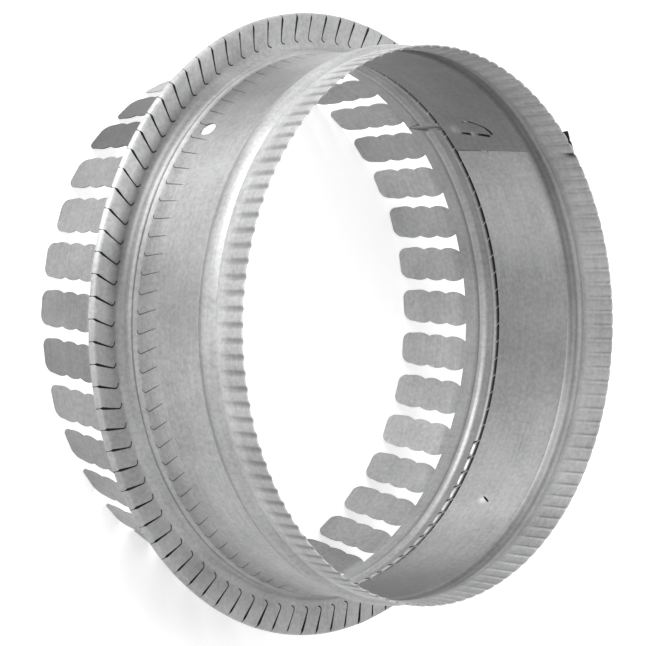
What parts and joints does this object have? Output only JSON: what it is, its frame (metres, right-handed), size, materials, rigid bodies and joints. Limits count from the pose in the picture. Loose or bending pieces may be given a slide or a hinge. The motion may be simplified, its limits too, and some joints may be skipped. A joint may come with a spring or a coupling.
{
  "type": "duct starting collar",
  "caption": "Round sheet metal starting collar: a crimped and beaded duct sleeve with a slit flange and a ring of bend-over tabs that clinch it in a board or sheet wall.",
  "frame": {"origin": "centre of the circle of tab tips, the lowest plane of the part as it stands on its tabs", "axes": "+Z along the duct axis towards the crimped end; +Y across the collar, upwards in the picture; +X across it, to the right and away from the viewer"},
  "size_m": [0.353, 0.353, 0.1575],
  "materials": {
    "sleeve_steel": "galvanised sheet, dull",
    "tab_steel": "galvanised sheet, dull",
    "flange_steel": "galvanised sheet, semi-bright"
  },
  "bodies": {
    "root": {"collar_sleeve": "sleeve_steel", "tab_ring": "tab_steel", "flange_ring": "flange_steel"}
  },
  "joints": []
}
